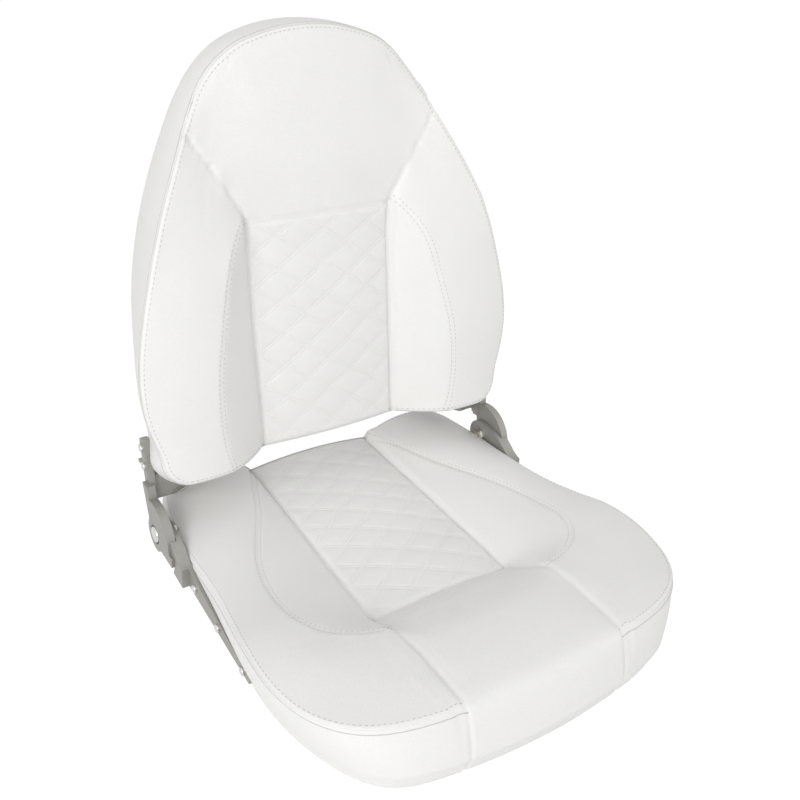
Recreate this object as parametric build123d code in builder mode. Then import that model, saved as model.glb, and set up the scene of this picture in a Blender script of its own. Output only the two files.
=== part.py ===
from build123d import *
import math
import os

# Folding boat seat, in millimetres. +X is to the right seen from the front, -Y is the
# front and +Z is up. The origin is the middle of the four mount bolts, on the underside
# of the seat pan.

# Seat cushion: plan sizes at the perimeter seam and at the low bulge, and heights
seat_half_width = 249.0
seat_rear = 256.0
seat_depth = 492.0
seat_low_half_width = 239.0
seat_low_depth = 514.0
seat_tuck = 7.0
seat_bottom_z = 1.5
seat_low_z = 30.0
seat_top_z = 92.0
seat_bottom_round = 8.0

# Back cushion: sizes in the plane of the back, which leans and starts over the seat's rear
back_lean = 9.2
back_y = 199.5
back_z = 108.2
back_foot = 6.0
back_front_half_width = 252.0
back_front_height = 482.0
back_front_offset = 56.0
back_rear_half_width = 220.0
back_rear_height = 494.0
back_rear_offset = 60.0
back_rear_round = 8.0

insert_crown = 7.0

# The lip that the sewn cover makes round the pan and round the shell, and the clearance
# of the cushions to their side walls
cover_lip = 12.0
cover_proud = 1.3
cushion_gap = 0.5

# Seat pan, a hat-shaped moulding with a stapling brim, a ribbed crown and side rails
pan_wall = 4.0
pan_crown_z = 22.0
pan_brim_width = 24.0
rail_thickness = 5.0
pan_rail_inset = 39.0
rail_top_z = 60.0
rail_front = -80.0
rail_rear = 190.0
pan_rib_thickness = 3.0
pan_rib_lines = 5
mount_spacing = 127.0
mount_pad_half = 84.0
mount_pad_thickness = 5.0
mount_pad_corner = 10.0
mount_window_radius = 32.0
mount_boss_radius = 14.0

# Tee nuts that the pedestal bolts screw into
tee_bore_radius = 3.2
tee_barrel_radius = 4.8
tee_barrel_length = 10.0
tee_flange_radius = 10.0
tee_flange_thickness = 1.6

# Hinge line and the stack of plates along it, from the cushion outwards
pivot_y = 176.0
pivot_z = 51.0
nut_thickness = 6.0
nut_across_flats = 16.0
washer_thickness = 1.5
washer_radius = 10.5
arm_inset = 20.0
arm_low_inset = 10.0
lower_lobe_thickness = 6.0
running_gap = 0.1
bushing_flange_thickness = 0.9
bushing_wall = 2.0
upper_plate_thickness = 10.0
bolt_radius = 5.0
running_fit = 0.06
press_fit = 0.02
bolt_head_radius = 10.0
bolt_head_height = 5.5
bolt_head_round = 2.5
bolt_recess_radius = 12.0
bolt_recess_depth = 4.0
bolt_tail = 0.8

# Lower arm, a channel casting along the side of the seat
lobe_radius = 21.0
arm_block_thickness = 14.0
arm_skin = 3.5
arm_hump_height = 12.0
arm_hump_reach = 48.0
arm_block_reach = 74.0
arm_block_drop = 1.0
arm_front_reach = 232.0
arm_front_height = 10.0
arm_low_drop = 36.0
arm_front_round = 4.0
arm_pocket_start = 78.0

# Upper arm, a casting whose toe stops against the lower arm
shoulder_radius = 43.0
toe_radius = 52.0
toe_drop = 13.0
stop_gap = 0.1
swing_gap = 0.6
hinge_clearance = 19.0
neck_angle = 72.0
neck_height = 56.0
neck_rear = 31.0
neck_width = 14.0
flange_set_out = 4.0
flange_thickness = 8.0
flange_width_low = 15.0
flange_width_high = 11.0
flange_foot = -34.0
flange_top = 54.0
flange_lead = 3.0
flange_drift = 6.0
web_thickness = 5.0
web_inset = 69.0
web_setback = 4.0
web_rib_depth = 11.0
web_rib_thickness = 4.0
lip_depth = 54.0
lip_thickness = 4.0
lip_screw_inset = 55.0
lip_screw_offset = -50.0

# Screws, their bosses and the clearances round them
screw_radius = 2.4
screw_hole_clearance = 0.3
screw_bite_clearance = 0.05
screw_head_radius = 5.0
screw_head_height = 3.0
screw_head_round = 1.2
screw_length = 34.0
lower_screw_reaches = [92.0, 154.0, 216.0]
upper_screw_heights = [19.0, 42.0]
boss_radius = 7.0
lip_boss_length = 30.0
pocket_gap = 0.5
overrun = 60.0

# Back shell, a moulding with a stapling brim, a raised ribbed panel and side rails
shell_wall = 3.5
shell_brim_width = 24.0
shell_proud = 3.3
shell_edge_round = 2.5
shell_rail_inset = 20.0
shell_rail_foot = 13.0
shell_rail_top = 110.0
shell_rail_front = 4.0
shell_rib_thickness = 3.0
shell_rib_pitch = 64.0
shell_rib_lines = 5

os.makedirs("parts", exist_ok=True)
sides = (1, -1)
STRAIGHT = 180

# Places along the hinge, worked out from the stack. The lower arm's inner face lies in from
# the seat's seam and from its low bulge, and clears them both
lower_inner_x = max(seat_half_width - arm_inset, seat_low_half_width - arm_low_inset)
lower_outer_x = lower_inner_x + lower_lobe_thickness
arm_outer_x = lower_inner_x + arm_block_thickness
upper_inner_x = lower_outer_x + running_gap + bushing_flange_thickness
upper_outer_x = upper_inner_x + upper_plate_thickness
recess_floor_x = upper_outer_x - bolt_recess_depth
bushing_radius = bolt_radius + running_fit + bushing_wall
flange_inner_x = lower_inner_x + flange_set_out
flange_outer_x = flange_inner_x + flange_thickness
rail_outer_x = seat_low_half_width - pan_rail_inset
rail_middle_x = rail_outer_x - rail_thickness / 2

# Places along the foot of the back, which follow the shell's width
shell_rail_outer_x = back_rear_half_width - shell_rail_inset
shell_rail_middle_x = shell_rail_outer_x - rail_thickness / 2
web_reach = flange_inner_x - back_rear_half_width + web_inset
lip_screw_x = back_rear_half_width - lip_screw_inset

# The back plane: its directions up the back and forward out of it, and the hinge line in it
lean = math.radians(back_lean)
back_origin = Vector(0, back_y, back_z)
back_up = Vector(0, math.sin(lean), math.cos(lean))
back_forward = Vector(0, -math.cos(lean), math.sin(lean))
back_plane = Plane(origin=back_origin, x_dir=(1, 0, 0), z_dir=back_forward)
pivot_from_back = Vector(0, pivot_y, pivot_z) - back_origin
pivot_offset = pivot_from_back.dot(back_forward)
pivot_height = pivot_from_back.dot(back_up)


def back_section(height):
    """The plane across the back at a height up it, with its own +Y pointing forward."""
    return Plane(origin=back_origin + back_up * height, x_dir=(-1, 0, 0), z_dir=back_up)


def back_side(x):
    """The side view of the back at a place across it: +X rearward, +Y up the back."""
    return Plane(origin=back_origin + Vector(x, 0, 0), x_dir=back_forward * -1, z_dir=(1, 0, 0))


def hinge_side(x):
    """The side view round the hinge line at a place across the seat: +X rearward, +Y up."""
    return Plane(origin=(x, pivot_y, pivot_z), x_dir=(0, 1, 0), z_dir=(1, 0, 0))


def cushion_outline(half_width, near, length, shares):
    """A closed cushion outline, mirrored about the middle.

    shares holds half widths and lengths: first the end of the straight near edge, then
    the rim from the near corner to the far end of the middle line. An arc rounds the near
    corner and another crosses the far end.
    """
    points = [Vector(half_width * x, near + length * y) for x, y in shares]
    with BuildSketch(Plane.XY) as outline:
        with BuildLine():
            Line((0, near), points[0])
            corner = TangentArc(points[0], points[1], tangent=(1, 0))
            crest = TangentArc(points[-1], points[-2], tangent=(1, 0))
            Spline(*points[1:-1], tangents=[corner % 1, -(crest % 1)])
            mirror(about=Plane.YZ)
        make_face()
    return outline.sketch


def surface_section(half_width, height, row):
    """What lies over a cushion's face at one section across it.

    The row has the half width and height of the insert's edge, of the bolster seam and of
    the perimeter seam, the outer panel's crown, and the insert's crown.
    """
    edge_x, edge_z, seam_x, seam_z, rim_x, rim_z, bulge, crown = row
    edge = Vector(half_width * edge_x, height * edge_z)
    seam = Vector(half_width * seam_x, height * seam_z)
    rim = Vector(half_width * rim_x, height * rim_z)
    middle = Vector(0, edge.Y + insert_crown * crown)
    swell = (seam + rim) / 2 + Vector(0, height * bulge)
    wide = Vector(half_width + overrun, rim.Y)
    high = Vector(wide.X, height + overrun)
    with BuildSketch(Plane.XY) as section:
        with BuildLine():
            TangentArc(middle, edge, tangent=(1, 0))
            Line(edge, seam)
            ThreePointArc(seam, swell, rim)
            Polyline(rim, wide, high, (0, high.Y))
            mirror(about=Plane.YZ)
        make_face()
    return section.sketch


# Rims of the two cushions: half width, then distance from the near edge
seat_top_rim_shares = [
    (0.743, 0.0), (0.855, 0.057), (0.884, 0.167), (0.928, 0.43), (1.0, 0.72),
    (0.936, 0.874), (0.775, 0.951), (0.45, 0.99), (0.0, 1.0),
]
seat_low_rim_shares = [
    (0.75, 0.0), (0.87, 0.057), (0.895, 0.16), (0.94, 0.41), (0.99, 0.66),
    (0.92, 0.82), (0.74, 0.945), (0.45, 0.985), (0.0, 1.0),
]
back_front_rim_shares = [
    (0.75, 0.0), (0.909, 0.063), (0.972, 0.153), (1.0, 0.25), (0.94, 0.424),
    (0.794, 0.639), (0.635, 0.79), (0.504, 0.897), (0.317, 0.971), (0.0, 1.0),
]
back_rear_rim_shares = [
    (0.87, 0.0), (0.975, 0.05), (1.0, 0.15), (1.0, 0.275), (0.973, 0.418),
    (0.864, 0.623), (0.714, 0.783), (0.568, 0.893), (0.355, 0.969), (0.0, 1.0),
]

# Faces of the two cushions, section by section: the place along the cushion, then what
# surface_section takes. The insert ends where one list of sections ends and the next starts.
seat_insert_shares = [
    (-0.03, 0.349, 0.467, 0.418, 0.587, 0.86, 0.543, 0.13, 1.0),
    (0.12, 0.349, 0.467, 0.434, 0.609, 0.876, 0.587, 0.14, 1.0),
    (0.333, 0.357, 0.467, 0.622, 0.652, 0.908, 0.63, 0.10, 1.0),
    (0.435, 0.361, 0.457, 0.699, 0.696, 0.928, 0.674, 0.076, 1.0),
    (0.537, 0.365, 0.457, 0.731, 0.772, 0.956, 0.761, 0.065, 1.0),
    (0.642, 0.365, 0.446, 0.719, 0.88, 0.992, 0.891, 0.055, 0.9),
]
seat_front_shares = [
    (0.642, 0.365, 0.446, 0.719, 0.88, 0.992, 0.891, 0.055, 0.9),
    (0.699, 0.39, 0.663, 0.643, 0.891, 1.0, 0.913, 0.055, 0.6),
    (0.742, 0.406, 0.826, 0.454, 0.88, 1.0, 0.913, 0.055, 0.3),
    (0.825, 0.406, 0.924, 0.466, 0.935, 0.98, 0.891, 0.045, 0.2),
    (0.927, 0.404, 0.93, 0.466, 0.935, 1.0, 0.875, 0.04, 0.2),
    (1.09, 0.402, 0.891, 0.466, 0.891, 1.0, 0.848, 0.03, 0.2),
]
back_insert_shares = [
    (-0.06, 0.373, 0.0, 0.58, 0.786, 0.95, 0.714, 0.09, 1.0),
    (0.075, 0.373, 0.0, 0.615, 0.82, 0.95, 0.714, 0.09, 1.0),
    (0.27, 0.373, 0.0, 0.623, 0.857, 1.0, 0.732, 0.09, 1.0),
    (0.394, 0.373, 0.0, 0.571, 0.75, 0.96, 0.732, 0.09, 1.0),
    (0.53, 0.373, 0.0, 0.50, 0.57, 0.88, 0.73, 0.09, 1.0),
    (0.595, 0.377, 0.07, 0.425, 0.25, 0.84, 0.69, 0.10, 0.9),
]
back_head_shares = [
    (0.595, 0.377, 0.07, 0.425, 0.25, 0.84, 0.69, 0.10, 0.9),
    (0.63, 0.42, 0.13, 0.455, 0.20, 0.80, 0.61, 0.09, 0.7),
    (0.705, 0.484, 0.14, 0.508, 0.18, 0.746, 0.48, 0.06, 0.6),
    (0.80, 0.58, 0.15, 0.60, 0.16, 0.64, 0.23, 0.01, 0.8),
    (0.892, 0.43, 0.07, 0.46, 0.045, 0.508, 0.0, 0.01, 1.0),
    (1.04, 0.36, 0.02, 0.40, 0.0, 0.45, -0.02, 0.005, 0.8),
]

# Shares of the arms' own sizes
flange_round_share = 0.45
neck_root_share = 0.8
web_bend_share = 0.36
web_sag_share = 0.58


def seat_low_outline(inset):
    """The seat's low outline, drawn in all round."""
    length = 2 * inset - seat_low_depth
    half_width = seat_low_half_width - inset
    return cushion_outline(half_width, seat_rear - inset, length, seat_low_rim_shares)


def back_rear_outline(inset):
    """The back cushion's rear outline, drawn in all round."""
    length = back_rear_height - back_foot - 2 * inset
    half_width = back_rear_half_width - inset
    return cushion_outline(half_width, back_foot + inset, length, back_rear_rim_shares)


def lower_arm_outline(grow):
    """The lower arm's side view round the hinge line, grown all round."""
    front_top = Vector(-arm_front_reach, arm_front_height - arm_low_drop)
    front_low = Vector(-arm_front_reach, -arm_low_drop)
    with BuildSketch(Plane.XY) as outline:
        with BuildLine():
            rise = Line(front_top, (-arm_block_reach, -arm_block_drop))
            hump = (-arm_hump_reach, arm_hump_height)
            Spline(rise @ 1, hump, (0, lobe_radius), tangents=[rise % 1, (1, 0)])
            Polyline((0, lobe_radius), (0, -lobe_radius), front_low, front_top)
        make_face()
        fillet(outline.vertices().group_by(Axis.X)[0], radius=arm_front_round)
        Circle(lobe_radius)
        if grow:
            offset(amount=grow)
    return outline.sketch


def flange_outline(grow):
    """The upper arm's side flange in the side view of the back, grown all round."""
    low = Vector(-flange_lead, flange_foot)
    high = Vector(flange_drift - flange_lead, flange_top)
    low_rear = low + Vector(flange_width_low, 0)
    high_rear = high + Vector(flange_width_high, 0)
    with BuildSketch(Plane.XY) as outline:
        with BuildLine():
            Polyline(low, low_rear, high_rear, high, low)
        make_face()
        tip = outline.vertices().group_by(Axis.Y)[-1]
        fillet(tip, radius=flange_width_high * flange_round_share)
        if grow:
            offset(amount=grow)
    return outline.sketch


def mirrored(piece, label):
    """The left-hand twin of a right-hand piece."""
    with BuildPart() as twin:
        mirror(piece, about=Plane.YZ)
    twin.part.label = label
    return twin.part


def save(*pieces):
    """Write each piece under its own name."""
    for piece in pieces:
        export_step(piece, f"parts/{piece.label}.step")


def lower_screw_place(reach):
    """Where a lower arm screw goes, in the side view round the hinge line."""
    front_top = arm_front_height - arm_low_drop
    run = (arm_front_reach - reach) / (arm_front_reach - arm_block_reach)
    top = front_top - (front_top + arm_block_drop) * run
    low = -lobe_radius - (arm_low_drop - lobe_radius) * reach / arm_front_reach
    return (-reach, (top + low) / 2)


def flange_screw_place(height):
    """Where a flange screw goes, in the side view of the back."""
    run = (height - flange_foot) / (flange_top - flange_foot)
    width = flange_width_low + (flange_width_high - flange_width_low) * run
    return (flange_drift * run - flange_lead + width / 2, height)


lip_screw_places = [(side * lip_screw_x, lip_screw_offset) for side in sides]
lower_screw_places = [lower_screw_place(reach) for reach in lower_screw_reaches]
flange_screw_places = [flange_screw_place(height) for height in upper_screw_heights]

brim_z = seat_bottom_z + cover_proud
brim_inset = seat_tuck + cover_lip
crown_inset = brim_inset + pan_brim_width
deck_z = pan_crown_z - pan_wall
tee_grid = GridLocations(mount_spacing, mount_spacing, 2, 2)


def pan_core(grow):
    """The pan's crown, side rails and screw bosses as one block, grown sideways."""
    with BuildPart() as core:
        with BuildSketch(Plane.XY):
            add(seat_low_outline(crown_inset - grow))
        extrude(amount=pan_crown_z)
        with BuildSketch(Plane.XY.offset(brim_z)):
            for side in sides:
                with Locations((side * rail_middle_x, (rail_rear + rail_front) / 2)):
                    Rectangle(rail_thickness + 2 * grow, rail_rear - rail_front + 2 * grow)
        extrude(amount=rail_top_z - brim_z)
        for side in sides:
            with BuildSketch(hinge_side(side * lower_inner_x)):
                with Locations(*lower_screw_places):
                    Circle(boss_radius + grow)
            extrude(amount=side * (rail_middle_x - lower_inner_x))
    return core.part


# Seat pan: a brim that the cover is stapled to, and a crown that is hollow, with ribs
# under the deck, a mount pad with a window, and bosses for the tee nuts
with BuildPart() as seat_pan:
    add(pan_core(0))
    with BuildSketch(Plane.XY.offset(brim_z)):
        add(seat_low_outline(brim_inset + cushion_gap))
    extrude(amount=pan_wall)
    with BuildSketch(Plane.XY):
        add(seat_low_outline(crown_inset + pan_wall))
        with GridLocations(mount_pad_half, mount_pad_half, pan_rib_lines, 1):
            Rectangle(pan_rib_thickness, seat_depth, mode=Mode.SUBTRACT)
        with GridLocations(mount_pad_half, mount_pad_half, 1, pan_rib_lines):
            Rectangle(seat_depth, pan_rib_thickness, mode=Mode.SUBTRACT)
        with tee_grid:
            Circle(mount_boss_radius, mode=Mode.SUBTRACT)
    extrude(amount=deck_z, mode=Mode.SUBTRACT)
    with BuildSketch(Plane.XY):
        RectangleRounded(2 * mount_pad_half, 2 * mount_pad_half, mount_pad_corner)
    extrude(amount=mount_pad_thickness)
    with BuildSketch(Plane.XY):
        Circle(mount_window_radius)
    extrude(amount=mount_pad_thickness, mode=Mode.SUBTRACT)
    with BuildSketch(Plane.XY):
        with tee_grid:
            Circle(tee_barrel_radius + press_fit)
    extrude(amount=pan_crown_z, mode=Mode.SUBTRACT)
    with BuildSketch(Plane.XY.offset(tee_barrel_length)):
        with tee_grid:
            Circle(tee_flange_radius + screw_hole_clearance)
    extrude(amount=pan_crown_z, mode=Mode.SUBTRACT)
    for side in sides:
        with BuildSketch(hinge_side(side * lower_inner_x)):
            with Locations(*lower_screw_places):
                Circle(screw_radius + screw_bite_clearance)
        extrude(amount=side * (rail_outer_x - rail_thickness - lower_inner_x), mode=Mode.SUBTRACT)
seat_pan.part.label = "seat_pan"

# Tee nuts, pressed into the pan's bosses from above and flush with its underside
with BuildPart() as mount_tee_nuts:
    with BuildSketch(Plane.XY):
        with tee_grid:
            Circle(tee_barrel_radius)
    extrude(amount=tee_barrel_length)
    with BuildSketch(Plane.XY.offset(tee_barrel_length)):
        with tee_grid:
            Circle(tee_flange_radius)
    extrude(amount=tee_flange_thickness)
    with BuildSketch(Plane.XY):
        with tee_grid:
            Circle(tee_bore_radius)
    extrude(amount=tee_barrel_length + tee_flange_thickness, mode=Mode.SUBTRACT)
mount_tee_nuts.part.label = "mount_tee_nuts"

# Seat cushion, foam in its sewn cover: the outer body between three outlines, the face cut
# by its sections, a pocket along each side for the lower arm, and the hollow for the pan
with BuildPart() as seat_cushion:
    with BuildSketch(Plane.XY.offset(seat_bottom_z)):
        add(seat_low_outline(seat_tuck))
    with BuildSketch(Plane.XY.offset(seat_low_z)):
        add(seat_low_outline(0))
    with BuildSketch(Plane.XY.offset(seat_top_z)):
        add(cushion_outline(seat_half_width, seat_rear, -seat_depth, seat_top_rim_shares))
    loft()
    for sections in (seat_insert_shares, seat_front_shares):
        for place, *row in sections:
            with BuildSketch(Plane.XZ.offset(seat_depth * place - seat_rear)):
                add(surface_section(seat_half_width, seat_top_z, row))
        loft(mode=Mode.SUBTRACT)
    for side in sides:
        with BuildSketch(hinge_side(side * (lower_inner_x - pocket_gap))):
            add(lower_arm_outline(pocket_gap))
        extrude(amount=side * overrun, mode=Mode.SUBTRACT)
    fillet(seat_cushion.edges().group_by(Axis.Z)[0], radius=seat_bottom_round)
    with BuildSketch(Plane.XY):
        add(seat_low_outline(brim_inset))
    extrude(amount=brim_z + pan_wall, mode=Mode.SUBTRACT)
    add(pan_core(cushion_gap), mode=Mode.SUBTRACT)
seat_cushion.part.label = "seat_cushion"

save(seat_pan.part, mount_tee_nuts.part, seat_cushion.part)

# Lower arm: a lobe round the hinge bolt, a slender channel bar that slopes to the front,
# and a block on its outer side with the ledge that the upper arm's toe stops against
with BuildPart() as lower_arm_right:
    with BuildSketch(hinge_side(lower_inner_x)):
        add(lower_arm_outline(0))
    extrude(amount=lower_lobe_thickness)
    with BuildSketch(hinge_side(lower_outer_x)):
        add(lower_arm_outline(0))
        Circle(shoulder_radius + swing_gap, mode=Mode.SUBTRACT)
        swing = toe_radius + swing_gap
        with BuildLine():
            ThreePointArc((-swing, 0), (0, -swing), (swing, 0))
            Line((swing, 0), (-swing, 0))
        make_face(mode=Mode.SUBTRACT)
        with Locations((-arm_block_reach, 0)):
            Rectangle(arm_front_reach, seat_depth, align=(Align.MAX, Align.CENTER), mode=Mode.SUBTRACT)
    extrude(amount=arm_outer_x - lower_outer_x)
    with BuildSketch(hinge_side(lower_inner_x)):
        add(lower_arm_outline(-arm_skin))
        with Locations((-arm_pocket_start, 0)):
            Rectangle(arm_front_reach, seat_depth, align=(Align.MIN, Align.CENTER), mode=Mode.SUBTRACT)
        with Locations(*lower_screw_places):
            Circle(boss_radius, mode=Mode.SUBTRACT)
    extrude(amount=lower_outer_x - arm_skin - lower_inner_x, mode=Mode.SUBTRACT)
    with BuildSketch(hinge_side(lower_inner_x)):
        Circle(bolt_radius + press_fit)
        with Locations(*lower_screw_places):
            Circle(screw_radius + screw_hole_clearance)
    extrude(amount=arm_outer_x - lower_inner_x, mode=Mode.SUBTRACT)
lower_arm_right.part.label = "lower_arm_right"
save(lower_arm_right.part, mirrored(lower_arm_right.part, "lower_arm_left"))

# Lower arm screws, through the arm into the pan's bosses
with BuildPart() as lower_arm_screws_right:
    with BuildSketch(hinge_side(lower_outer_x)):
        with Locations(*lower_screw_places):
            Circle(screw_radius)
    extrude(amount=-screw_length)
    with BuildSketch(hinge_side(lower_outer_x)):
        with Locations(*lower_screw_places):
            Circle(screw_head_radius)
    extrude(amount=screw_head_height)
    fillet(lower_arm_screws_right.edges().group_by(Axis.X)[-1], radius=screw_head_round)
lower_arm_screws_right.part.label = "lower_arm_screws_right"
save(lower_arm_screws_right.part, mirrored(lower_arm_screws_right.part, "lower_arm_screws_left"))

shell_offset = cover_proud - back_rear_offset
brim_front_offset = shell_offset + shell_wall
shell_inset = cover_lip + cushion_gap
panel_inset = shell_inset + shell_brim_width


def shell_core(grow):
    """The shell's side rails and screw bosses as one group, grown sideways."""
    with BuildPart() as core:
        with BuildSketch(back_plane.offset(shell_offset)):
            for side in sides:
                with Locations((side * shell_rail_middle_x, (shell_rail_top + shell_rail_foot) / 2)):
                    Rectangle(rail_thickness + 2 * grow, shell_rail_top - shell_rail_foot + 2 * grow)
        extrude(amount=shell_rail_front - shell_offset)
        for side in sides:
            with BuildSketch(back_side(side * flange_inner_x)):
                with Locations(*flange_screw_places):
                    Circle(boss_radius + grow)
            extrude(amount=side * (shell_rail_middle_x - flange_inner_x))
        with BuildSketch(back_section(back_foot)):
            with Locations(*lip_screw_places):
                Circle(boss_radius + grow)
        extrude(amount=lip_boss_length + grow)
    return core.part


# Back shell: a brim that the cover is stapled to, a panel raised to the rear with ribs
# in it, side rails for the upper arms and bosses for the lip screws
with BuildPart() as back_shell:
    with BuildSketch(back_plane.offset(shell_offset - shell_proud)):
        add(back_rear_outline(panel_inset))
    extrude(amount=shell_proud + shell_wall)
    panel = back_shell.faces().filter_by(back_plane).sort_by(Axis(back_origin, back_forward))[0]
    fillet(panel.edges(), radius=shell_edge_round)
    with BuildSketch(back_plane.offset(shell_offset)):
        add(back_rear_outline(shell_inset))
    extrude(amount=shell_wall)
    with BuildSketch(back_plane.offset(brim_front_offset)):
        add(back_rear_outline(panel_inset + shell_wall))
        with Locations((0, back_rear_height / 2)):
            with GridLocations(shell_rib_pitch, shell_rib_pitch, shell_rib_lines, 1):
                Rectangle(shell_rib_thickness, back_rear_height, mode=Mode.SUBTRACT)
    extrude(amount=-shell_proud, mode=Mode.SUBTRACT)
    add(shell_core(0))
    for side in sides:
        with BuildSketch(back_side(side * flange_inner_x)):
            with Locations(*flange_screw_places):
                Circle(screw_radius + screw_bite_clearance)
        extrude(amount=side * (shell_rail_outer_x - rail_thickness - flange_inner_x), mode=Mode.SUBTRACT)
    with BuildSketch(back_section(back_foot)):
        with Locations(*lip_screw_places):
            Circle(screw_radius + screw_bite_clearance)
    extrude(amount=lip_boss_length, mode=Mode.SUBTRACT)
back_shell.part.label = "back_shell"

# Back cushion, foam in its sewn cover: the outer body between two outlines, the face cut
# by its sections, a pocket in each side for the upper arm, and the seat for the shell
with BuildPart() as back_cushion:
    with BuildSketch(back_plane.offset(-back_rear_offset)):
        add(back_rear_outline(0))
    with BuildSketch(back_plane.offset(back_front_offset)):
        rim_length = back_front_height - back_foot
        add(cushion_outline(back_front_half_width, back_foot, rim_length, back_front_rim_shares))
    loft()
    for sections in (back_insert_shares, back_head_shares):
        for place, *row in sections:
            with BuildSketch(back_section(back_front_height * place)):
                add(surface_section(back_front_half_width, back_front_offset, row))
        loft(mode=Mode.SUBTRACT)
    for side in sides:
        with BuildSketch(back_side(side * (flange_inner_x - pocket_gap))):
            add(flange_outline(pocket_gap))
        extrude(amount=side * overrun, mode=Mode.SUBTRACT)
    rear = back_cushion.faces().filter_by(back_plane).sort_by(Axis(back_origin, back_forward))[0]
    fillet(rear.edges(), radius=back_rear_round)
    with BuildSketch(back_plane.offset(brim_front_offset)):
        add(back_rear_outline(cover_lip))
    extrude(amount=-overrun, mode=Mode.SUBTRACT)
    add(shell_core(cushion_gap), mode=Mode.SUBTRACT)
back_cushion.part.label = "back_cushion"

save(back_shell.part, back_cushion.part)

# Upper arm: a plate on the hinge bolt with the shoulder and the stop toe, a flange up the
# side of the back, and a web with a swept rib that reaches in under the cushion to a lip
web_front = -web_setback
web_low = Vector(flange_inner_x + flange_thickness / 2, flange_foot - web_rib_thickness)
web_high = Vector(flange_inner_x - web_reach, back_foot - lip_thickness)
web_bend = Vector(flange_inner_x - web_reach * web_bend_share, web_low.Y * web_sag_share)


def web_outline(lift):
    """The web in the plane of the back, right of the middle, with its swept edge lifted."""
    rise = Vector(0, lift)
    with BuildSketch(Plane.XY) as outline:
        with BuildLine():
            sweep_line = ThreePointArc(web_high + rise, web_bend + rise, web_low + rise)
            top = back_foot + lift
            Polyline(sweep_line @ 1, (web_low.X, top), (web_high.X, top), sweep_line @ 0)
        make_face()
    return outline.sketch


with BuildPart() as upper_arm_right:
    with BuildSketch(hinge_side(upper_inner_x)):
        with BuildLine():
            shoulder = CenterArc((0, 0), shoulder_radius, neck_angle, STRAIGHT - neck_angle)
            toe_low = Vector(-math.sqrt(toe_radius**2 - toe_drop**2), -toe_drop)
            Polyline(
                shoulder @ 1,
                (-shoulder_radius, -stop_gap),
                (-toe_radius, -stop_gap),
                toe_low,
                (0, -toe_drop),
                (lobe_radius * neck_root_share, toe_drop),
                (neck_rear, neck_height),
                (neck_rear - neck_width, neck_height),
                shoulder @ 0,
            )
        make_face()
        Circle(lobe_radius)
    extrude(amount=upper_plate_thickness)
    with BuildSketch(back_side(flange_inner_x)):
        add(flange_outline(0))
    extrude(amount=flange_thickness)
    with BuildSketch(back_plane.offset(web_front - web_thickness)):
        add(web_outline(0))
    extrude(amount=web_thickness)
    with BuildSketch(back_plane.offset(web_front - web_thickness)):
        add(web_outline(0))
        add(web_outline(web_rib_thickness), mode=Mode.SUBTRACT)
    extrude(amount=web_rib_depth)
    with BuildSketch(back_section(back_foot - lip_thickness)):
        lip_middle = (web_high.X + flange_inner_x) / 2
        with Locations((-lip_middle, web_front)):
            Rectangle(web_reach, lip_depth, align=(Align.CENTER, Align.MAX))
    extrude(amount=lip_thickness)

    # The web and the flange keep clear of the lower arm's lobe as the back folds
    with BuildSketch(hinge_side(lower_outer_x + running_gap)):
        Circle(lobe_radius + hinge_clearance)
    extrude(amount=-overrun, mode=Mode.SUBTRACT)

    # The bore for the bushing, the recess for the bolt's head and the screw holes
    with BuildSketch(hinge_side(upper_inner_x)):
        Circle(bushing_radius + press_fit)
    extrude(amount=upper_plate_thickness, mode=Mode.SUBTRACT)
    with BuildSketch(hinge_side(recess_floor_x)):
        Circle(bolt_recess_radius)
    extrude(amount=bolt_recess_depth, mode=Mode.SUBTRACT)
    with BuildSketch(back_side(flange_inner_x)):
        with Locations(*flange_screw_places):
            Circle(screw_radius + screw_hole_clearance)
    extrude(amount=flange_thickness, mode=Mode.SUBTRACT)
    with BuildSketch(back_section(back_foot - lip_thickness)):
        with Locations(*lip_screw_places):
            Circle(screw_radius + screw_hole_clearance)
    extrude(amount=lip_thickness, mode=Mode.SUBTRACT)
upper_arm_right.part.label = "upper_arm_right"
save(upper_arm_right.part, mirrored(upper_arm_right.part, "upper_arm_left"))

# Upper arm screws: two through the flange and one up through the lip, into the shell
with BuildPart() as upper_arm_screws_right:
    with BuildSketch(back_side(flange_outer_x)):
        with Locations(*flange_screw_places):
            Circle(screw_radius)
    extrude(amount=-screw_length)
    with BuildSketch(back_side(flange_outer_x)):
        with Locations(*flange_screw_places):
            Circle(screw_head_radius)
    extrude(amount=screw_head_height)
    fillet(upper_arm_screws_right.edges().group_by(Axis.X)[-1], radius=screw_head_round)
    with BuildSketch(back_section(back_foot - lip_thickness)):
        with Locations((-lip_screw_x, lip_screw_offset)):
            Circle(screw_radius)
    extrude(amount=screw_length)
    with BuildSketch(back_section(back_foot - lip_thickness)):
        with Locations((-lip_screw_x, lip_screw_offset)):
            Circle(screw_head_radius)
    extrude(amount=-screw_head_height)
upper_arm_screws_right.part.label = "upper_arm_screws_right"
save(upper_arm_screws_right.part, mirrored(upper_arm_screws_right.part, "upper_arm_screws_left"))

# Hinge bolt: a round head in the upper arm's recess and a shank through to its nut
nut_inner_x = lower_inner_x - washer_thickness - nut_thickness
with BuildPart() as pivot_bolt_right:
    with BuildSketch(hinge_side(nut_inner_x - bolt_tail)):
        Circle(bolt_radius)
    extrude(amount=recess_floor_x + running_gap - nut_inner_x + bolt_tail)
    with BuildSketch(hinge_side(recess_floor_x + running_gap)):
        Circle(bolt_head_radius)
    extrude(amount=bolt_head_height)
    fillet(pivot_bolt_right.edges().group_by(Axis.X)[-1], radius=bolt_head_round)
pivot_bolt_right.part.label = "pivot_bolt_right"

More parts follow.
